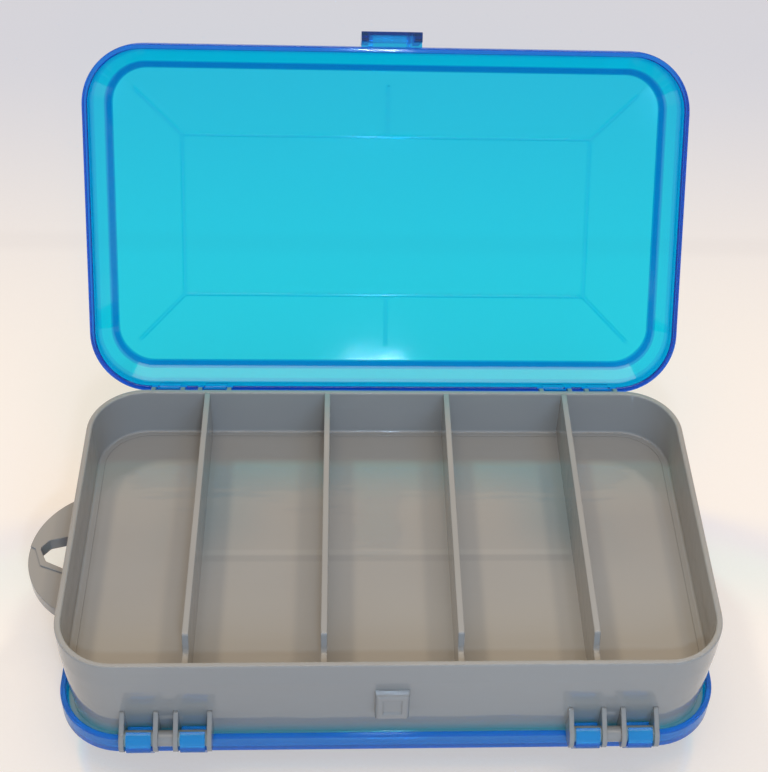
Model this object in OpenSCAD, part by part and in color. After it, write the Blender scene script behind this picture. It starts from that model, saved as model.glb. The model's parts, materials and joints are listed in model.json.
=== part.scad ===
// Two-sided tackle box: a grey tray with compartments on both faces and a
// clear blue lid hinged on each. The tray rests on its closed bottom lid.
// Origin: centre of the bottom lid's flat resting face. X runs along the box,
// +Y towards the hinge of the top lid, +Z up. Millimetres.

/* [Tray] */
// Length of the tray along X
tray_len = 206; // [200:1:300]
// Depth of the tray along Y
tray_dep = 117.6; // [104:0.1:180]
// Depth of the compartments on each face
side_depth = 19.1; // [16:0.1:40]
// Thickness of the floor shared by both faces
web_t = 1.8; // [1.2:0.1:3]
// Thickness of the outer wall
wall_t = 1.95; // [1.4:0.05:3]
// Outer corner radius of the wall, seen from above
corner_r = 18.9; // [10:0.1:19.2]
// Rounding of the wall's two rims
rim_round = 0.6; // [0.3:0.05:0.65]
// How far the wall leans in towards its lower rim
wall_lean = 1.5; // [0.5:0.1:2]
// Height of the upright stretch under the upper rim
upright_h = 9; // [6:0.5:14]
// Height of the band that widens the lower rim again
band_h = 2; // [1.5:0.1:3]
// Radius in the corner between wall and floor
floor_fillet = 0.8; // [0.5:0.1:2]

/* [Dividers] */
// Thickness of a divider
divider_t = 1.9; // [1.2:0.1:3]
// Distance between neighbouring dividers
divider_pitch = 42; // [36:0.5:46]
// Distance from the wall's inside to the step in a divider's top edge
notch_len = 10.1; // [7:0.1:20]
// How far that step drops
notch_drop = 6; // [4:0.1:12]
// Rounding at the top of the step
notch_top_r = 1.0; // [0.5:0.1:1.5]
// Rounding at the foot of the step
notch_foot_r = 2.2; // [1:0.1:2.4]
// Thickness of the rib that halves the middle compartments underneath
cross_rib_t = 1.6; // [1:0.1:2.5]
// Place of that rib along Y
cross_rib_y = 0; // [-10:0.5:10]

/* [Lids] */
// Height of a lid's flat top above the tray's rim
lid_rise = 13.4; // [12.8:0.1:20]
// Thickness of a lid's top
lid_t = 1.4; // [1:0.1:1.8]
// Thickness of the skirt round a lid
skirt_t = 1.95; // [1.4:0.05:2.2]
// Gap between skirt and tray wall
skirt_gap = 0.35; // [0.2:0.05:0.6]
// How far the skirt reaches past the rim
skirt_drop = 5.6; // [4.5:0.05:6]
// Gap between a closed lid's shoulder and the rim
seat_gap = 0.3; // [0.2:0.05:0.6]
// Height of the skirt's outer edge above the rim
edge_rise = 1.5; // [1:0.1:2]
// Inset of the shoulder's upper end from the lid's edge, inside
shoulder_in = 7.05; // [6:0.05:9]
// Height of that end above the rim
shoulder_h = 4.95; // [4:0.05:6]
// Width of the step above the shoulder
step_w = 1.75; // [1:0.05:2.5]
// Height of the step
step_h = 2.3; // [1.5:0.05:3]
// Inset of the flat top panel from the lid's edge
panel_in = 32.15; // [26:0.05:38]
// Radius of the beads inside a lid
bead_r = 0.7; // [0.4:0.05:0.9]
// Inset at which the corner beads end
bead_corner_in = 15.85; // [14:0.05:20]
// Inset at which the two short middle beads end
bead_mid_in = 13.85; // [10.5:0.05:20]
// Angle to which the top lid stands open
open_angle = 119.75; // [90:0.25:120]

/* [Hinges] */
// Distance of a hinge's middle from the tray's end
hinge_end = 33.5; // [33:0.1:45]
// Distance of the hinge axis from the wall
axis_out = 4.15; // [4.15:0.05:6]
// Distance of the hinge axis below the rim
axis_drop = 8.8; // [8.8:0.05:12]
// Radius of a hinge pin
pin_r = 2.5; // [1.5:0.05:2.6]
// Running gap between pin and knuckle
pin_gap = 0.08; // [0.04:0.01:0.1]
// Outer radius of a knuckle
knuckle_r = 3.95; // [3.6:0.05:4]
// Radius of the thicker outer side of a knuckle
bulge_r = 3.6; // [3.4:0.05:3.8]
// How far that side is set off, outwards and towards the lid
bulge_off = 0.6; // [0.2:0.05:0.9]
// Length of a knuckle along the pin
knuckle_len = 7.6; // [5:0.1:8.2]
// Radius of an ear round the pin
ear_r = 4.15; // [3.8:0.05:4.3]
// Thickness of an ear
ear_t = 1.5; // [1:0.1:2]
// Clearance of the slots that pass the ears through the skirt
ear_slot = 0.35; // [0.3:0.05:0.4]
// Distance from the hinge's middle to its inner ears
ear_inner = 3.05; // [2.5:0.05:4]
// Distance from the hinge's middle to its outer ears
ear_outer = 13.4; // [13:0.05:14]
// Reach of an ear's web along the wall, away from the lid
ear_web = 7.5; // [5:0.1:10]

/* [Latches] */
// Width of a latch
latch_w = 20; // [16:0.1:30]
// Thickness of a latch's plate
latch_t = 1.2; // [0.8:0.1:1.6]
// Thickness of a latch's side flanges
flange_t = 2.5; // [1.2:0.1:2.6]
// Distance below the bar at which the flanges widen towards the wall
flange_top = 3.2; // [3:0.1:5]
// Rounding of the flanges' far corners
flange_round = 1; // [0.4:0.1:1.4]
// Radius of a latch's barrel
barrel_r = 1.7; // [1.5:0.05:1.8]
// Radius of the bar that the latch turns on
bar_r = 0.9; // [0.6:0.05:1]
// Gap between the barrel and the lid's skirt
barrel_gap = 0.35; // [0.3:0.05:0.8]
// Distance of the bar below the rim
bar_drop = 1.8; // [1.7:0.05:2.6]
// Thickness of the lugs that hold the bar
lug_t = 1.4; // [1:0.1:2]
// Radius of those lugs round the bar
lug_eye_r = 1.6; // [1.4:0.05:1.7]
// Gap between a latch and those lugs
lug_gap = 0.3; // [0.2:0.05:0.5]
// How far a latch stands away from the wall at rest
latch_ajar = 4.5; // [4.5:0.25:20]
// Length of the latch past its hook
latch_tip = 3; // [1.5:0.1:6]
// Thickness of the hook
hook_t = 1.3; // [1:0.1:2]
// Clearance between hook and strike
hook_gap = 0.3; // [0.2:0.05:0.5]

/* [Strikes] */
// Width of a strike
strike_w = 10.6; // [8:0.1:12]
// Distance from the rim to the near end of a strike
strike_top = 12.8; // [10:0.1:16]
// Height of a strike
strike_h = 12; // [8:0.1:14]
// How far a strike stands out of the wall
strike_out = 2.6; // [1.5:0.05:2.6]
// Rounding of a strike's front edge
strike_round = 0.9; // [0.4:0.05:1.2]
// Rounding of its corners, seen from above
strike_corner = 1.6; // [0.8:0.1:2.4]
// Depth of the dimple in its face
dimple_d = 0.6; // [0.2:0.05:1]
// Distance of the dimple's mouth from the strike's near end
dimple_top = 1.9; // [1.4:0.1:3]
// Distance of the dimple's mouth from the strike's far end
dimple_foot = 2.7; // [1.4:0.1:3.4]
// Slant of the dimple's ends
dimple_slant = 0.7; // [0.3:0.1:1]

/* [Carrying lug] */
// Radius of the lug's outline
lug_r = 27.7; // [24:0.1:34]
// How far the lug stands out of the end wall
lug_out = 16; // [14:0.1:20]
// Thickness of the lug
lug_plate_t = 4.6; // [2:0.1:6]
// Height of its top face above the tray's middle
lug_top = 1.4; // [0:0.1:4]
// Depth of the step on the lug's front half
lug_step = 0.5; // [0.2:0.05:1]
// Distance from the wall to the hole
hole_wall = 2.5; // [1.5:0.1:4]
// Distance from the wall to the hole's tip
hole_len = 12.6; // [11:0.1:13.5]
// Distance from the wall to the bends in the hole's sides
hole_bend = 10; // [8:0.1:10.8]
// Half width of the hole beside the wall
hole_half = 7.7; // [6:0.1:9]
// Half width of the hole at the bends
hole_bend_half = 4.45; // [3.4:0.05:5]
// Place of the hole's middle along Y, beside the wall
hole_y = 0.6; // [-3:0.1:3]
// Place of its middle at the bends
hole_bend_y = 1.15; // [-2:0.05:2]
// Place of its tip
hole_tip_y = 2.2; // [-3:0.1:3]
// Roundings of the tip and of the bends
hole_round = 1.5; // [0.5:0.1:1.8]
// Width of the lug's flat band between the hole and the step
step_band = 1.6; // [1.2:0.1:2.4]

/* [Hidden] */
$fn = 64;

tray_grey = [0.58, 0.56, 0.55];
lid_blue = [0.05, 0.62, 0.86, 0.6];
latch_blue = [0.05, 0.50, 0.78, 0.8];

bit = 0.01;                                  // overrun of a cut past a face
tray_h = 2 * side_depth + web_t;
rim_low = lid_rise;
rim_high = rim_low + tray_h;
mid_z = (rim_low + rim_high) / 2;
half_len = tray_len / 2;
half_dep = tray_dep / 2;
inner_dep = half_dep - wall_t;
low_wall_in = wall_t + wall_lean;            // inside of the lower side's wall from the tray's edge
low_inner_dep = half_dep - low_wall_in;
web_edge = low_wall_in + floor_fillet;       // where the wall ends and the floor begins

overhang = skirt_gap + skirt_t;
lid_half_len = half_len + overhang;
lid_half_dep = half_dep + overhang;
lid_corner_r = corner_r + overhang;

// Slope of the roof between the step and the flat panel, inside and outside
step_in = shoulder_in + step_w;
roof_low = shoulder_h + step_h;
roof_high = lid_rise - lid_t;
roof_slope = (roof_high - roof_low) / (panel_in - step_in);
mitre = 0.4 * lid_t;                         // sideways shift of the outer corners

hinge_x = half_len - hinge_end;
axis_y = half_dep + axis_out;
axis_z = rim_high - axis_drop;
knuckle_x = (ear_inner + ear_outer) / 2;
ear_shoulder = 0.86 * ear_r;                 // height of an ear's web above the axis

bar_out = overhang + barrel_gap + barrel_r;  // bar's distance from the wall
bar_y = -half_dep - bar_out;
bar_z = rim_high - bar_drop;
latch_face = bar_out + barrel_r;             // latch's outer face from the wall
hook_z = strike_top + strike_h + hook_gap;   // hook's near face below the rim
latch_end = hook_z + hook_t + latch_tip;
hook_reach = 0.9;                            // hook's edge from the wall

lug_high = mid_z + lug_top;
lug_cx = -half_len - lug_out + lug_r;

// ---------- helpers ----------

// Points of an arc, without its first one
function arc(c, r, a0, a1, n = 6) =
  [for (i = [1 : n]) let (a = a0 + (a1 - a0) * i / n) c + r * [cos(a), sin(a)]];

// A vertex of a profile, rounded with radius r: the corner is replaced by n + 1 points
function turn(p, q, s, r, n) =
  let (
    u = (p - q) / norm(p - q),
    v = (s - q) / norm(s - q),
    half = acos(u * v) / 2,
    len = r / tan(half),
    c = q + (u + v) / norm(u + v) * r / sin(half),
    a = q + u * len - c,
    b = q + v * len - c,
    a0 = atan2(a.y, a.x),
    sweep = atan2(a.x * b.y - a.y * b.x, a * b)
  )
  [for (i = [0 : n]) c + r * [cos(a0 + sweep * i / n), sin(a0 + sweep * i / n)]];

// A closed profile whose corners have the radii given, 0 for a sharp one
function rounded(pts, radii, n = 4) =
  let (k = len(pts))
  [for (i = [0 : k - 1])
    for (q = radii[i] > 0
      ? turn(pts[(i + k - 1) % k], pts[i], pts[(i + 1) % k], radii[i], n)
      : [pts[i]]) q];

// Turns the upper side into the lower one: half a turn about the box's long middle line
module underneath() {
  translate([0, 0, 2 * mid_z]) rotate([180, 0, 0]) children();
}

// Rounded rectangle with half sizes hx, hy and corner radius r, as a prism
module round_prism(hx, hy, r, z0, z1) {
  translate([0, 0, z0]) linear_extrude(z1 - z0) union() {
    square([2 * (hx - r), 2 * hy], center = true);
    square([2 * hx, 2 * (hy - r)], center = true);
    for (sx = [-1, 1], sy = [-1, 1]) translate([sx * (hx - r), sy * (hy - r)]) circle(r);
  }
}

// Carries a profile of (inset, height) points once round a rounded rectangle
module round_sweep(hx, hy, r, profile) {
  corner = [for (p = profile) [r - p.x, p.y]];
  for (sx = [-1, 1], sy = [-1, 1])
    translate([sx * (hx - r), sy * (hy - r), 0])
      mirror([sx < 0 ? 1 : 0, 0, 0]) mirror([0, sy < 0 ? 1 : 0, 0])
        rotate_extrude(angle = 90) polygon(corner);
  for (s = [0, 1]) mirror([0, s, 0])
    translate([-(hx - r), hy, 0]) rotate([90, 0, 90])
      linear_extrude(2 * (hx - r)) polygon([for (p = profile) [-p.x, p.y]]);
  for (s = [0, 1]) mirror([s, 0, 0])
    translate([hx, hy - r, 0]) rotate([90, 0, 0])
      linear_extrude(2 * (hy - r)) polygon([for (p = profile) [-p.x, p.y]]);
}

// Solid under a hipped roof: its four slopes start at height low above the rim, inset edge
module hip_roof(edge, low, high, base) {
  run = (high - low) / roof_slope;
  intersection() {
    roof_wedge(lid_half_dep - edge, 2 * lid_half_len, run, low, high, base);
    rotate([0, 0, 90]) roof_wedge(lid_half_len - edge, 2 * lid_half_dep, run, low, high, base);
  }
}

module roof_wedge(half, length, run, low, high, base) {
  translate([-length / 2, 0, 0]) rotate([90, 0, 90]) linear_extrude(length)
    polygon([[-half, base], [half, base], [half, low], [half - run, high],
      [-half + run, high], [-half, low]]);
}

// A rod between two points
module rod(p, q, r) {
  d = q - p;
  translate(p) rotate([0, acos(d.z / norm(d)), atan2(d.y, d.x)]) cylinder(h = norm(d), r = r);
}

// Places a hinge profile, drawn outwards and up from the axis, at x and t thick
module on_hinge(x, t) {
  translate([x - t / 2, axis_y, axis_z]) rotate([90, 0, 90]) linear_extrude(t) children();
}

// The same for a latch, whose profile runs outwards from the front wall and up from the rim
module on_front(x, t) {
  translate([x + t / 2, -half_dep, rim_high]) rotate([90, 0, -90]) linear_extrude(t) children();
}

// ---------- tray ----------

// Section of the wall as (inset, height from the middle): upright below the upper rim, then
// leaning in down to the band round the lower rim
function wall_profile() =
  let (floor_top = web_t / 2, rim = tray_h / 2)
  rounded(
    [[0, -rim], [0, -rim + band_h], [wall_lean, -rim + band_h + wall_lean * 0.7], [0, rim - upright_h],
     [0, rim], [wall_t, rim], [wall_t, floor_top], [web_edge, floor_top], [web_edge, -floor_top],
     [low_wall_in, -floor_top], [low_wall_in, -rim]],
    [rim_round, 0, 0, 0, rim_round, rim_round, floor_fillet - bit, 0, 0, floor_fillet - bit, rim_round]);

module tray_wall() {
  color(tray_grey) translate([0, 0, mid_z])
    round_sweep(half_len, half_dep, corner_r, wall_profile());
}

// The wall's section in a profile's plane: outwards is +x, up is +y, and the rim is at rim_y.
// The lower side's pieces see it upside down.
module wall_section(wall_x, rim_y, lower) {
  polygon([for (p = wall_profile()) [wall_x - p.x, rim_y - tray_h / 2 + (lower ? -p.y : p.y)]]);
}

module tray_floor() {
  color(tray_grey)
    round_prism(half_len - web_edge, half_dep - web_edge, corner_r - web_edge,
      mid_z - web_t / 2, mid_z + web_t / 2);
}

// Outline of a divider from the floor to the rim, reach from wall to wall, step at the front
module divider_outline(reach) {
  low = web_t / 2;
  high = tray_h / 2;
  foot = -reach + notch_len;
  slope = notch_drop / 3;
  difference() {
    polygon(rounded(
      [[-reach, low], [-reach, high - notch_drop], [foot - slope, high - notch_drop],
       [foot, high], [reach, high], [reach, low]],
      [0, 0, notch_foot_r, notch_top_r, 0, 0]));
    for (s = [-1, 1]) scale([s, 1]) fillet_cut(reach, low);
  }
}

// Clears the radius between wall and floor
module fillet_cut(reach, low) {
  difference() {
    translate([reach - floor_fillet, low - bit]) square(floor_fillet + bit);
    polygon(concat(
      [[reach - floor_fillet, low + 2 * floor_fillet], [reach - floor_fillet, low]],
      arc([reach - floor_fillet, low + floor_fillet], floor_fillet, -90, 0, 4),
      [[reach, low + 2 * floor_fillet]]));
  }
}

module divider(i, reach) {
  color(tray_grey) translate([(i - 2.5) * divider_pitch - divider_t / 2, 0, mid_z])
    rotate([90, 0, 90]) linear_extrude(divider_t) divider_outline(reach);
}

// Short ribs between the four dividers of the lower side
module cross_ribs() {
  bay = divider_pitch - divider_t;
  color(tray_grey) for (i = [-1 : 1])
    translate([i * divider_pitch - bay / 2, cross_rib_y - cross_rib_t / 2, rim_low])
      cube([bay, cross_rib_t, side_depth]);
}

module strike(lower) {
  bottom = -strike_top - strike_h;
  color(tray_grey) difference() {
    intersection() {
      on_front(0, strike_w) difference() {
        polygon(rounded(
          [[-wall_t, bottom], [-wall_t, -strike_top], [strike_out, -strike_top], [strike_out, bottom]],
          [0, 0, strike_round, strike_round]));
        wall_section(0, 0, lower);
      }
      translate([0, -half_dep, 0]) linear_extrude(2 * mid_z) polygon(rounded(
        [[-strike_w / 2, wall_t], [-strike_w / 2, -strike_out], [strike_w / 2, -strike_out],
         [strike_w / 2, wall_t]],
        [0, strike_corner, strike_corner, 0]));
    }
    on_front(0, strike_w * 0.55)
      polygon([[strike_out - dimple_d, bottom + dimple_foot + dimple_slant],
        [strike_out - dimple_d, -strike_top - dimple_top - dimple_slant],
        [strike_out + bit, -strike_top - dimple_top], [strike_out + bit, bottom + dimple_foot]]);
  }
}

// ---------- hinges ----------

// An ear's outline about the axis, its foot cut to the wall
module ear_outline(lower) {
  foot = -axis_out - wall_t;
  difference() {
    union() {
      circle(ear_r);
      polygon([[foot, ear_shoulder], [-ear_r * 0.45, ear_shoulder], [0, 0],
        [ear_r * cos(-40), ear_r * sin(-40)], [-axis_out, -ear_web], [foot, -ear_web]]);
    }
    circle(pin_r);
    wall_section(-axis_out, axis_drop, lower);
    translate([foot - ear_r, -ear_r * 3]) square([ear_r, ear_r * 6]);
  }
}

module ears(side, lower) {
  color(tray_grey) for (x = [-ear_outer, -ear_inner, ear_inner, ear_outer])
    on_hinge(side * hinge_x + x, ear_t) ear_outline(lower);
}

module pin(side) {
  color(tray_grey) on_hinge(side * hinge_x, 2 * ear_outer + ear_t) circle(pin_r);
}

// A knuckle grips the pin like a clip, open towards the wall and away from the lid
module knuckle_outline() {
  root_o = overhang - axis_out;
  root_t = axis_drop - skirt_drop;
  bulge = bulge_off * [1, 1];
  cut = 3 * knuckle_r;
  difference() {
    union() {
      circle(knuckle_r);
      translate(bulge) circle(bulge_r);
      polygon([[root_o - skirt_t / 2, root_t + 0.4], [root_o - skirt_t / 2, axis_drop + 0.6],
        [root_o + 1.2, axis_drop + 0.6], bulge + bulge_r * [cos(48), sin(48)], bulge, [0, 0],
        [-knuckle_r * 0.6, root_t * 0.5]]);
    }
    circle(pin_r + pin_gap);
    polygon([[0, 0], for (a = [-84, -115, -145, -176]) cut * [cos(a), sin(a)]]);
  }
}

// ---------- lids, drawn closed on the upper side ----------

module lid_shell() {
  skirt_round = skirt_t * 0.3;
  edge_round = lid_t / 2;
  translate([0, 0, rim_high]) {
    round_sweep(lid_half_len, lid_half_dep, lid_corner_r,
      rounded(
        [[0, -skirt_drop], [0, edge_rise], [shoulder_in - mitre, shoulder_h + lid_t],
         [step_in - mitre, roof_low + lid_t], [step_in, roof_low], [shoulder_in, shoulder_h],
         [skirt_t, seat_gap], [skirt_t, -skirt_drop]],
        [skirt_round, edge_round, edge_round, 0, 0, edge_round, edge_round, skirt_round]));
    difference() {
      intersection() {
        round_prism(lid_half_len - step_in + mitre, lid_half_dep - step_in + mitre,
          lid_corner_r - step_in + mitre, roof_low, lid_rise);
        hip_roof(step_in - mitre, roof_low + lid_t - mitre * roof_slope, lid_rise, 0);
      }
      intersection() {
        round_prism(lid_half_len - step_in, lid_half_dep - step_in, lid_corner_r - step_in,
          0, lid_rise);
        hip_roof(step_in, roof_low, roof_high, 0);
      }
    }
  }
}

// Raised beads inside the lid: round the flat panel, out along its corners and mid sides
module lid_beads() {
  px = lid_half_len - panel_in;
  py = lid_half_dep - panel_in;
  run = panel_in - bead_corner_in;
  mid_run = panel_in - bead_mid_in;
  translate([0, 0, rim_high]) {
    for (s = [-1, 1]) {
      rod([-px, s * py, roof_high], [px, s * py, roof_high], bead_r);
      rod([s * px, -py, roof_high], [s * px, py, roof_high], bead_r);
      rod([0, s * py, roof_high], [0, s * (py + mid_run), roof_high - mid_run * roof_slope], bead_r);
    }
    for (sx = [-1, 1], sy = [-1, 1])
      rod([sx * px, sy * py, roof_high],
        [sx * (px + run), sy * (py + run), roof_high - run * roof_slope], bead_r);
  }
}

// Lugs on the skirt, between the latch's flanges, that hold the latch's bar
module bar_lugs() {
  lug_x = latch_w / 2 - flange_t - lug_gap - lug_t / 2;
  for (s = [-1, 1]) on_front(s * lug_x, lug_t) difference() {
    union() {
      translate([bar_out, -bar_drop]) circle(lug_eye_r);
      translate([overhang - skirt_t / 2, -bar_drop - lug_eye_r])
        square([bar_out - overhang + skirt_t / 2, 2 * lug_eye_r]);
    }
    translate([bar_out, -bar_drop]) circle(bar_r);
  }
}

module closed_lid() {
  color(lid_blue) union() {
    difference() {
      lid_shell();
      for (side = [-1, 1], x = [-ear_outer, -ear_inner, ear_inner, ear_outer])
        on_hinge(side * hinge_x + x, ear_t + 2 * ear_slot) {
          circle(ear_r + ear_slot);
          translate([-axis_out, 0]) square([axis_out, ear_shoulder + ear_slot]);
        }
    }
    lid_beads();
    for (side = [-1, 1], x = [-knuckle_x, knuckle_x])
      on_hinge(side * hinge_x + x, knuckle_len) knuckle_outline();
    bar_lugs();
  }
}

module closed_bar() {
  color(lid_blue) on_front(0, latch_w - 2 * bit) translate([bar_out, -bar_drop]) circle(bar_r);
}

// A latch hanging closed: plate, hook under the strike, and two flanges that turn on the bar
module closed_latch() {
  flange_in = overhang + barrel_gap + 0.2;
  plate_top = -bar_drop - lug_eye_r - 2 * lug_gap;
  color(latch_blue) difference() {
    union() {
      on_front(0, latch_w)
        translate([latch_face - latch_t, -latch_end]) square([latch_t, latch_end + plate_top]);
      for (s = [-1, 1]) on_front(s * (latch_w - flange_t) / 2, flange_t) {
        translate([bar_out, -bar_drop]) circle(barrel_r);
        polygon(rounded([[flange_in, -latch_end + bit], [flange_in, -bar_drop - flange_top],
          [bar_out - barrel_r * 0.8, -bar_drop - barrel_r * 0.6], [bar_out, -bar_drop],
          [latch_face - bit, -bar_drop], [latch_face - bit, -latch_end + bit]],
          [flange_round, flange_round / 2, 0, 0, 0, 0]));
      }
      on_front(0, latch_w - bit)
        translate([hook_reach, -hook_z - hook_t]) square([latch_face - hook_reach - bit, hook_t]);
    }
    on_front(0, latch_w + 1) translate([bar_out, -bar_drop]) circle(bar_r + pin_gap);
  }
}

// Swings the latch out to its rest, ajar position
module ajar() {
  translate([0, bar_y, bar_z]) rotate([-latch_ajar, 0, 0]) translate([0, -bar_y, -bar_z]) children();
}

// Swings the top lid and what it carries open about its hinge
module opened() {
  translate([0, axis_y, axis_z]) rotate([-open_angle, 0, 0]) translate([0, -axis_y, -axis_z])
    children();
}

// ---------- carrying lug ----------

// The hole's corners as seen from above, as (distance from the wall, Y), moved out by grow
function hole_points(grow) =
  [[0, hole_y + hole_half], [hole_bend, hole_bend_y + hole_bend_half], [hole_len + grow, hole_tip_y],
   [hole_bend + grow, hole_bend_y - hole_bend_half - grow], [hole_wall, hole_y - hole_half - grow]];

module carry_lug() {
  root_x = -half_len + wall_t;
  color(tray_grey) difference() {
    translate([0, 0, lug_high - lug_plate_t]) linear_extrude(lug_plate_t) difference() {
      intersection() {
        translate([lug_cx, 0]) circle(lug_r, $fn = 128);
        translate([root_x - 2 * lug_r, -lug_r]) square(2 * lug_r);
      }
      intersection() {
        polygon(rounded([for (q = hole_points(0)) [-half_len - q.x, q.y]],
          [0, hole_round, hole_round, hole_round, 0]));
        translate([-half_len - hole_wall - 2 * lug_r, -lug_r]) square(2 * lug_r);
      }
    }
    // The front half of the top face lies a step lower
    translate([0, 0, lug_high - lug_step]) linear_extrude(lug_step + bit)
      polygon(concat([for (q = hole_points(step_band)) if (q.y < hole_tip_y + bit) [-half_len - q.x, q.y]],
        [[root_x, hole_y - hole_half - 2 * step_band], [root_x, -lug_r], [-half_len - lug_out - 1, -lug_r],
         [-half_len - lug_out - 1, hole_tip_y + step_band]]));
    translate([0, lug_r, 0]) rotate([90, 0, 0]) linear_extrude(2 * lug_r)
      mirror([1, 0]) wall_section(half_len, rim_high, false);
  }
}

// ---------- the object ----------

tray_wall();
tray_floor();
divider(1, inner_dep);  // divider_1
divider(2, inner_dep);  // divider_2
divider(3, inner_dep);  // divider_3
divider(4, inner_dep);  // divider_4
underneath() divider(1, low_inner_dep);  // lower_divider_1
underneath() divider(2, low_inner_dep);  // lower_divider_2
underneath() divider(3, low_inner_dep);  // lower_divider_3
underneath() divider(4, low_inner_dep);  // lower_divider_4
cross_ribs();  // lower_cross_rib
ears(-1, false);  // rear_left_ears
ears(1, false);  // rear_right_ears
underneath() ears(-1, true);  // front_left_ears
underneath() ears(1, true);  // front_right_ears
pin(-1);  // rear_left_pin
pin(1);  // rear_right_pin
underneath() pin(-1);  // front_left_pin
underneath() pin(1);  // front_right_pin
strike(false);  // front_strike
underneath() strike(true);  // rear_strike
carry_lug();
opened() closed_lid();  // top_lid
opened() closed_bar();  // top_latch_bar
opened() ajar() closed_latch();  // top_latch
underneath() closed_lid();  // bottom_lid
underneath() closed_bar();  // bottom_latch_bar
underneath() ajar() closed_latch();  // bottom_latch
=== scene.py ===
import json
import math

import bpy
from mathutils import Matrix, Vector

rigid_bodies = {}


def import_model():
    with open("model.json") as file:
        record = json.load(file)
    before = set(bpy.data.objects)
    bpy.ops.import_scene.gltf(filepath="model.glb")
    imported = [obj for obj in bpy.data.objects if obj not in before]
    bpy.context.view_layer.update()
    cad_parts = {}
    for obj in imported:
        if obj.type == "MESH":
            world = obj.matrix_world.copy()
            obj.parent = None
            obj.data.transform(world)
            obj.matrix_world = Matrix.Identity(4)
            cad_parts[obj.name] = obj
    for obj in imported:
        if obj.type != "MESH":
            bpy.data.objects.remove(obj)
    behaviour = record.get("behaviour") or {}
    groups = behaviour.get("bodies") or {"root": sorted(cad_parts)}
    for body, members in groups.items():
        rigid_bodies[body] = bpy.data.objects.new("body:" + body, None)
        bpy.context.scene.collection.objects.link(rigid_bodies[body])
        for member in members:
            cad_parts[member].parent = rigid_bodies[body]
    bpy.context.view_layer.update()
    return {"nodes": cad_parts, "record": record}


# The file's own start-up objects go first, so that the part stands alone in the scene
for leftover in list(bpy.data.objects):
    bpy.data.objects.remove(leftover)

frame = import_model()
NODES = frame["nodes"]

# ---------- camera: fitted to the photograph's outlines, in metres and pixels ----------

IMAGE_W, IMAGE_H = 768, 772
FOCAL_PX = 1529.5
CENTRE_PX = (435.6, 373.7)
TARGET = Vector((0.01903, 0.08375, 0.0374))
DISTANCE = 0.57244
ELEVATION = math.radians(43.93)
AZIMUTH = math.radians(-4.82)
ROLL = math.radians(3.60)
SENSOR_MM = 36.0
CLIP_NEAR, CLIP_FAR = 0.01, 20.0


def make_camera():
    """The camera looks from above the front edge, a little from the left and slightly rolled."""
    data = bpy.data.cameras.new("camera")
    long_side = max(IMAGE_W, IMAGE_H)
    data.sensor_fit = "AUTO"
    data.sensor_width = SENSOR_MM
    data.lens = FOCAL_PX * SENSOR_MM / long_side
    data.shift_x = (IMAGE_W / 2 - CENTRE_PX[0]) / long_side
    data.shift_y = (CENTRE_PX[1] - IMAGE_H / 2) / long_side
    data.clip_start, data.clip_end = CLIP_NEAR, CLIP_FAR
    back = Vector((math.sin(AZIMUTH) * math.cos(ELEVATION),
                   -math.cos(AZIMUTH) * math.cos(ELEVATION), math.sin(ELEVATION)))
    level_right = (-back).cross(Vector((0, 0, 1))).normalized()
    level_up = back.cross(level_right)
    right = level_right * math.cos(ROLL) + level_up * math.sin(ROLL)
    up = level_up * math.cos(ROLL) - level_right * math.sin(ROLL)
    turn = Matrix((right, up, back)).transposed().to_4x4()
    camera = bpy.data.objects.new("camera", data)
    camera.matrix_world = Matrix.Translation(TARGET + back * DISTANCE) @ turn
    bpy.context.scene.collection.objects.link(camera)
    bpy.context.scene.camera = camera


# ---------- shader nodes ----------

def srgb(r, g, b):
    """A colour given as 0 to 255 display values, as the linear values that a shader takes."""
    def linear(v):
        v = v / 255
        return v / 12.92 if v <= 0.04045 else ((v + 0.055) / 1.055) ** 2.4
    return (linear(r), linear(g), linear(b), 1.0)


def new_material(name):
    """A material without nodes, and its node tree."""
    material = bpy.data.materials.new(name)
    material.use_nodes = True
    material.node_tree.nodes.clear()
    return material, material.node_tree


def feed(tree, socket, value):
    """A link where value is another node's output, and otherwise the value itself."""
    if isinstance(value, bpy.types.NodeSocket):
        tree.links.new(value, socket)
    else:
        socket.default_value = value


def add(tree, kind, **inputs):
    """A node, with its inputs fed by name, spaces written as underscores."""
    node = tree.nodes.new(kind)
    for name, value in inputs.items():
        feed(tree, node.inputs[name.replace("_", " ")], value)
    return node


def add_in_order(tree, kind, values, operation=None):
    """A node, with its inputs fed in their order."""
    node = tree.nodes.new(kind)
    if operation is not None:
        node.operation = operation
    for socket, value in zip(node.inputs, values):
        feed(tree, socket, value)
    return node


def number_math(tree, operation, *values):
    """The number that a math node gives."""
    return add_in_order(tree, "ShaderNodeMath", values, operation).outputs["Value"]


def vector_math(tree, operation, *values):
    """The vector that a vector math node gives."""
    return add_in_order(tree, "ShaderNodeVectorMath", values, operation).outputs["Vector"]


def vector_number(tree, operation, *values):
    """The number that a vector math node gives, for a dot product or a length."""
    return add_in_order(tree, "ShaderNodeVectorMath", values, operation).outputs["Value"]


def mixed(tree, share, first, second):
    """The first shader with a share of the second."""
    return add_in_order(tree, "ShaderNodeMixShader", (share, first, second)).outputs["Shader"]


def place(tree):
    """The part's own coordinates, in metres."""
    return tree.nodes.new("ShaderNodeTexCoord").outputs["Object"]


def axis_value(tree, axis):
    """One of the part's own coordinates, in metres."""
    return add(tree, "ShaderNodeSeparateXYZ", Vector=place(tree)).outputs[axis]


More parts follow.
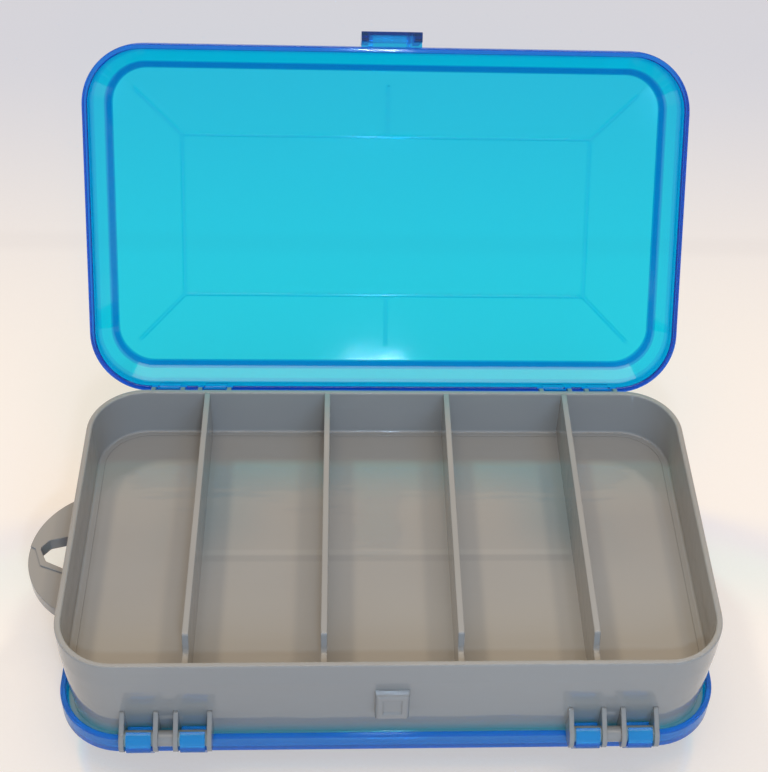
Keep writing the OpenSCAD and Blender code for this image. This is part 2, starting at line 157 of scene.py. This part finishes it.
def noise(tree, scale, detail, roughness, stretch=(1, 1, 1)):
    """Noise over the part's own coordinates, in features per metre."""
    mapping = add(tree, "ShaderNodeMapping", Vector=place(tree), Scale=stretch)
    node = add(tree, "ShaderNodeTexNoise", Vector=mapping.outputs["Vector"],
               Scale=scale, Detail=detail, Roughness=roughness)
    return node.outputs["Fac"]


def ramp(tree, source, low, high, at=(0.35, 0.65)):
    """source's value carried from low to high between two stops."""
    node = add(tree, "ShaderNodeValToRGB", Fac=source)
    first, last = node.color_ramp.elements
    first.position, last.position = at
    first.color, last.color = low, high
    return node.outputs["Color"]


def number_range(tree, source, low, high):
    """source's 0 to 1 as low to high."""
    return add(tree, "ShaderNodeMapRange", Value=source, To_Min=low, To_Max=high).outputs["Result"]


def smooth_step(tree, source, start, end):
    """0 at start and 1 at end, with soft turns between."""
    node = add(tree, "ShaderNodeMapRange", Value=source, From_Min=start, From_Max=end)
    node.interpolation_type = "SMOOTHSTEP"
    return node.outputs["Result"]


def band(tree, source, start, end, soft):
    """1 between start and end, falling to 0 over soft beyond them."""
    return number_math(tree, "MULTIPLY", smooth_step(tree, source, start - soft, start),
                       smooth_step(tree, source, end + soft, end))


def bump(tree, height, strength, distance, base=None):
    """A normal from height, over the normal that base gives."""
    node = add(tree, "ShaderNodeBump", Height=height, Strength=strength, Distance=distance)
    if base is not None:
        feed(tree, node.inputs["Normal"], base)
    return node.outputs["Normal"]


def tinted(tree, colour, mask, tint):
    """colour multiplied by tint where mask is 1."""
    mix = tree.nodes.new("ShaderNodeMix")
    mix.data_type = "RGBA"
    mix.blend_type = "MULTIPLY"
    inputs = {socket.identifier: socket for socket in mix.inputs}
    feed(tree, inputs["Factor_Float"], mask)
    feed(tree, inputs["A_Color"], colour)
    feed(tree, inputs["B_Color"], tint)
    return {socket.identifier: socket for socket in mix.outputs}["Result_Color"]


def ray_is(tree, *kinds):
    """1 for a ray of any of the kinds named, such as Camera or Shadow."""
    path = tree.nodes.new("ShaderNodeLightPath")
    found, *others = (path.outputs[f"Is {kind} Ray"] for kind in kinds)
    for other in others:
        found = number_math(tree, "MAXIMUM", found, other)
    return found


# ---------- grey plastic ----------

GREY_DARKER, GREY_PALER = srgb(165, 156, 145), srgb(172, 163, 151)
GREY_ROUGHNESS = (0.04, 0.10)
GREY_IOR = 1.52
EDGE_RADIUS = 0.0006
# Noise: features per metre, detail, roughness, and stretch along X, Y and Z
FLOW = (22, 2, 0.4, (0.35, 1.0, 0.5))
SKIN = (90, 2, 0.4)
GRAIN = (1400, 3, 0.6)
WAVES = (130, 2, 0.5, (0.22, 1.0, 1.0))
# Bumps: strength, and height in metres
SKIN_BUMP, WAVES_BUMP, FLOW_BUMP = (0.20, 0.0004), (1.0, 0.00018), (0.10, 0.0015)
# The rib under the floor shows through as a painted highlight line with a painted shade line in front of
# it. Both run along X over the reach and lie along Y, each as start, end and soft edge, in metres
RIB_LINES_REACH = (-0.060, 0.060, 0.003)
RIB_PAINTED_HIGHLIGHT, RIB_PAINTED_HIGHLIGHT_TINT = (0.0002, 0.0012, 0.0012), (1.06, 1.06, 1.06, 1.0)
RIB_PAINTED_SHADE, RIB_PAINTED_SHADE_TINT = (-0.0026, -0.0012, 0.0012), (0.91, 0.92, 0.93, 1.0)


def tray_plastic(name, rib_shade_lines=False):
    """Glossy moulded grey with faint flow marks, a slightly uneven skin and soft edges."""
    material, tree = new_material(name)
    flow = noise(tree, *FLOW)
    colour = ramp(tree, flow, GREY_DARKER, GREY_PALER)
    # Painted highlight and painted shade lines where the rib under the floor shows through
    if rib_shade_lines:
        reach = band(tree, axis_value(tree, "X"), *RIB_LINES_REACH)
        for where, tint in ((RIB_PAINTED_HIGHLIGHT, RIB_PAINTED_HIGHLIGHT_TINT), (RIB_PAINTED_SHADE, RIB_PAINTED_SHADE_TINT)):
            line = band(tree, axis_value(tree, "Y"), *where)
            colour = tinted(tree, colour, number_math(tree, "MULTIPLY", reach, line), tint)
    normal = add(tree, "ShaderNodeBevel", Radius=EDGE_RADIUS).outputs["Normal"]
    normal = bump(tree, noise(tree, *SKIN), *SKIN_BUMP, normal)
    normal = bump(tree, noise(tree, *WAVES), *WAVES_BUMP, normal)
    normal = bump(tree, flow, *FLOW_BUMP, normal)
    shader = add(tree, "ShaderNodeBsdfPrincipled", Base_Color=colour, IOR=GREY_IOR, Normal=normal,
                 Roughness=number_range(tree, noise(tree, *GRAIN), *GREY_ROUGHNESS))
    add(tree, "ShaderNodeOutputMaterial", Surface=shader.outputs["BSDF"])
    return material


# ---------- blue plastic ----------

# Each lid's depth, as (direction, offset), so that depth = place . direction + offset is 0 at the
# middle of the lid. The top lid stands open, turned about the hinge
OPEN_ANGLE = math.radians(119.75)
HINGE = Vector((0, 0.06295, 0.0446))
TOP_LID_DEPTH = Vector((0, math.cos(OPEN_ANGLE), -math.sin(OPEN_ANGLE)))
TOP_LID_ACROSS = (TOP_LID_DEPTH, HINGE.y - HINGE.dot(TOP_LID_DEPTH))
BOTTOM_LID_ACROSS = (Vector((0, 1, 0)), 0.0)
# A lid's outline: half its length and depth, and its corner radius, in metres
LID_HALF = (0.1053, 0.0611)
LID_CORNER = 0.0212
# The rim and the steep step, where painted shade deepens the blue, each as start, end and soft edge inside
# that outline, in metres
RIM = (-0.0022, 0.0022, 0.0004)
STEP = (0.0064, 0.0082, 0.0004)
# Painted shade that deepens the blue at the rim and the steep step
RIM_PAINTED_SHADE, STEP_PAINTED_SHADE = (0.6, 0.66, 0.88, 1.0), (0.03, 0.36, 0.76, 1.0)

# Tints are what the surfaces let through, absorptions what a metre of plastic takes away
LID_TINT, LID_ABSORPTION = (0.08, 1.0, 1.0, 1.0), (3000, 135, 3)
LATCH_TINT, LATCH_ABSORPTION = (0.10, 0.85, 0.97, 1.0), (3000, 200, 60)
# The share of light that the plastic scatters
BAR_MILK, LATCH_MILK, TOP_LID_MILK, BOTTOM_LID_MILK = 0.2, 0.12, 0.08, 0.32
MILK_COLOUR = (0.05, 0.36, 0.80, 1.0)
BLUE_IOR = 1.5
BLUE_ROUGHNESS = (0.03, 0.08)
HAZE = (35, 3, 0.5)
RIPPLE = (60, 2, 0.4)
RIPPLE_BUMP = (0.12, 0.0006)


def inset(tree, direction, offset):
    """How far inside a lid's rounded outline a point lies, in metres."""
    depth = number_math(tree, "ADD", vector_number(tree, "DOT_PRODUCT", place(tree), direction), offset)
    point = add(tree, "ShaderNodeCombineXYZ", X=axis_value(tree, "X"), Y=depth).outputs["Vector"]
    corner = (LID_HALF[0] - LID_CORNER, LID_HALF[1] - LID_CORNER, 0)
    past_corner = vector_math(tree, "SUBTRACT", vector_math(tree, "ABSOLUTE", point), corner)
    past_corner = vector_math(tree, "MAXIMUM", past_corner, (0, 0, 0))
    return number_math(tree, "SUBTRACT", LID_CORNER, vector_number(tree, "LENGTH", past_corner))


def blue_plastic(name, tint, absorption, milk, across=None):
    """Clear blue styrene: glass-like surfaces over a blue that deepens along the wall.

    across names a lid's own depth, for the rim and the steep step, where painted shade makes the blue
    deeper than the rest.
    Shadow and diffuse rays pass the surfaces straight, so that light reaches what lies behind.
    """
    material, tree = new_material(name)
    colour = tint
    if across is not None:
        # Painted shade deepens the blue at the steep step and the rim
        inside = inset(tree, *across)
        colour = tinted(tree, colour, band(tree, inside, *STEP), STEP_PAINTED_SHADE)
        colour = tinted(tree, colour, band(tree, inside, *RIM), RIM_PAINTED_SHADE)
    glass = add(tree, "ShaderNodeBsdfPrincipled", Base_Color=colour, IOR=BLUE_IOR, Transmission_Weight=1.0,
                Roughness=number_range(tree, noise(tree, *HAZE), *BLUE_ROUGHNESS),
                Normal=bump(tree, noise(tree, *RIPPLE), *RIPPLE_BUMP))
    scatter = add(tree, "ShaderNodeBsdfDiffuse", Color=MILK_COLOUR)
    cloudy = mixed(tree, milk, glass.outputs["BSDF"], scatter.outputs["BSDF"])
    clear = add(tree, "ShaderNodeBsdfTransparent", Color=tint)
    surface = mixed(tree, ray_is(tree, "Shadow", "Diffuse"), cloudy, clear.outputs["BSDF"])
    density = max(absorption)
    volume = add(tree, "ShaderNodeVolumeAbsorption", Density=density,
                 Color=(*(1 - channel / density for channel in absorption), 1.0))
    add(tree, "ShaderNodeOutputMaterial", Surface=surface, Volume=volume.outputs["Volume"])
    return material


def dress_cad_nodes():
    """Every CAD node keeps its mesh and takes the finish of its slot."""
    finishes = {
        "tray_plastic": tray_plastic("grey_moulding"),
        "lid_plastic": blue_plastic("blue_bar", LID_TINT, LID_ABSORPTION, BAR_MILK),
        "latch_plastic": blue_plastic("blue_latch", LATCH_TINT, LATCH_ABSORPTION, LATCH_MILK),
    }
    special = {
        "tray_floor": tray_plastic("grey_floor", rib_shade_lines=True),
        "top_lid": blue_plastic("blue_top_lid", LID_TINT, LID_ABSORPTION,
                                TOP_LID_MILK, TOP_LID_ACROSS),
        "bottom_lid": blue_plastic("blue_bottom_lid", LID_TINT, LID_ABSORPTION,
                                   BOTTOM_LID_MILK, BOTTOM_LID_ACROSS),
    }
    slots = {s["node"]: s["material_slot"] for s in frame["record"]["subparts"]}
    for name, node in NODES.items():
        finish = special.get(name, finishes[slots[name]])
        for material_slot in node.material_slots:
            material_slot.material = finish


# ---------- stage ----------

FLOOR_HALF = 1.6
# The far colour is painted shade, cooler and darker than the near one
CLOTH_NEAR, CLOTH_FAR_SHADED = srgb(214, 206, 198), srgb(190, 193, 203)
# The glow added to the cloth where the camera sees it, about a third of its brightness there
LIFT_NEAR, LIFT_FAR = (0.39, 0.33, 0.275, 1.0), (0.23, 0.21, 0.21, 1.0)
# Along Y, in metres: where the near colour turns to the far one's painted shade, and the painted shade of
# a crease with its soft edge
COOL_START, COOL_END = 0.09, 0.38
CREASE_SHADE_BAND = (0.204, 0.208, 0.008)
CREASE_PAINTED_SHADE = (0.95, 0.95, 0.955, 1.0)
CLOTH_ROUGHNESS, CLOTH_SPECULAR = 0.9, 0.1
WEAVE, FOLDS = (700, 2, 0.6), (9, 2, 0.5)
WEAVE_BUMP, FOLDS_BUMP = (0.15, 0.0006), (0.12, 0.01)
# Rays on the way from the camera, straight or by way of gloss and clear plastic
SEEN = ("Camera", "Glossy", "Transmission")


def cloth(name):
    """Plain cloth with painted shade, cooler and darker behind the part and along a crease, and with a
    glow where the camera sees it.
    """
    material, tree = new_material(name)
    # Painted shade: cooler and darker behind the part, and darker along a crease
    way = smooth_step(tree, axis_value(tree, "Y"), COOL_START, COOL_END)
    crease_shade = band(tree, axis_value(tree, "Y"), *CREASE_SHADE_BAND)
    colour = tinted(tree, ramp(tree, way, CLOTH_NEAR, CLOTH_FAR_SHADED, (0, 1)), crease_shade, CREASE_PAINTED_SHADE)
    normal = bump(tree, noise(tree, *WEAVE), *WEAVE_BUMP)
    normal = bump(tree, noise(tree, *FOLDS), *FOLDS_BUMP, normal)
    plain = add(tree, "ShaderNodeBsdfPrincipled", Base_Color=colour, Roughness=CLOTH_ROUGHNESS,
                Specular_IOR_Level=CLOTH_SPECULAR, Normal=normal).outputs["BSDF"]
    lift = add(tree, "ShaderNodeEmission", Strength=1.0,
               Color=ramp(tree, way, LIFT_NEAR, LIFT_FAR, (0, 1))).outputs["Emission"]
    lifted = add_in_order(tree, "ShaderNodeAddShader", (plain, lift)).outputs["Shader"]
    add(tree, "ShaderNodeOutputMaterial", Surface=mixed(tree, ray_is(tree, *SEEN), plain, lifted))
    return material


def make_stage():
    """A pale cloth under the part and far around it."""
    half = FLOOR_HALF
    corners = [(-half, -half, 0), (half, -half, 0), (half, half, 0), (-half, half, 0)]
    mesh = bpy.data.meshes.new("backdrop")
    mesh.from_pydata(corners, [], [(0, 1, 2, 3)])
    mesh.update()
    mesh.materials.append(cloth("plain_cloth"))
    stage = bpy.data.objects.new("backdrop", mesh)
    bpy.context.scene.collection.objects.link(stage)


# ---------- light ----------

# What lights the scene from all round, and what the camera sees past the cloth
ROOM_COLOUR, ROOM_STRENGTH = (0.78, 0.88, 1.0, 1.0), 0.30
PALE_COLOUR, PALE_STRENGTH = (0.60, 0.62, 0.66, 1.0), 1.0

TRAY_MIDDLE, TRAY_REAR = (0, 0, 0.03), (0, 0.03, 0.05)
WARM_CEILING, WARM_LAMP = (1.0, 0.82, 0.60), (1.0, 0.88, 0.70)
BLUE_SKY, COOL_FLASH = (0.34, 0.58, 1.0), (0.50, 0.72, 1.0)
# name, place, what it faces, size, watts, colour, and whether gloss and clear plastic show it
LAMPS = (
    ("overhead", (0, 0.05, 1.5), TRAY_MIDDLE, (0.9, 0.7), 5.0, WARM_CEILING, True),
    ("lamp_left", (-1.12, 2.05, 2.55), TRAY_MIDDLE, (0.36, 0.36), 31.0, WARM_LAMP, False),
    ("lamp_right", (1.12, 2.05, 2.55), TRAY_MIDDLE, (0.36, 0.36), 23.0, WARM_LAMP, False),
    ("window", (0.15, -1.1, 0.7), TRAY_MIDDLE, (0.6, 0.45), 6.5, BLUE_SKY, False),
    ("beside_camera", (0.0086, -0.3711, 0.3911), TRAY_REAR, (0.036, 0.024), 0.5, COOL_FLASH, True),
)


def area_light(name, at, towards, size, power, colour, mirrored):
    data = bpy.data.lights.new(name, "AREA")
    data.shape = "RECTANGLE"
    data.size, data.size_y = size
    data.energy = power
    data.color = colour
    lamp = bpy.data.objects.new(name, data)
    lamp.location = at
    lamp.rotation_mode = "QUATERNION"
    lamp.rotation_quaternion = (Vector(towards) - Vector(at)).to_track_quat("-Z", "Y")
    lamp.visible_glossy = lamp.visible_transmission = mirrored
    bpy.context.scene.collection.objects.link(lamp)


def make_light():
    """A pale room, warm light overhead and behind, and cooler light from the camera's side."""
    world = bpy.data.worlds.new("room")
    world.use_nodes = True
    tree = world.node_tree
    tree.nodes.clear()
    room = add(tree, "ShaderNodeBackground", Color=ROOM_COLOUR, Strength=ROOM_STRENGTH)
    pale = add(tree, "ShaderNodeBackground", Color=PALE_COLOUR, Strength=PALE_STRENGTH)
    surface = mixed(tree, ray_is(tree, *SEEN), room.outputs["Background"], pale.outputs["Background"])
    add(tree, "ShaderNodeOutputWorld", Surface=surface)
    bpy.context.scene.world = world
    for lamp in LAMPS:
        area_light(*lamp)


make_camera()
dress_cad_nodes()
make_stage()
make_light()

bpy.context.scene.view_settings.view_transform = "Standard"
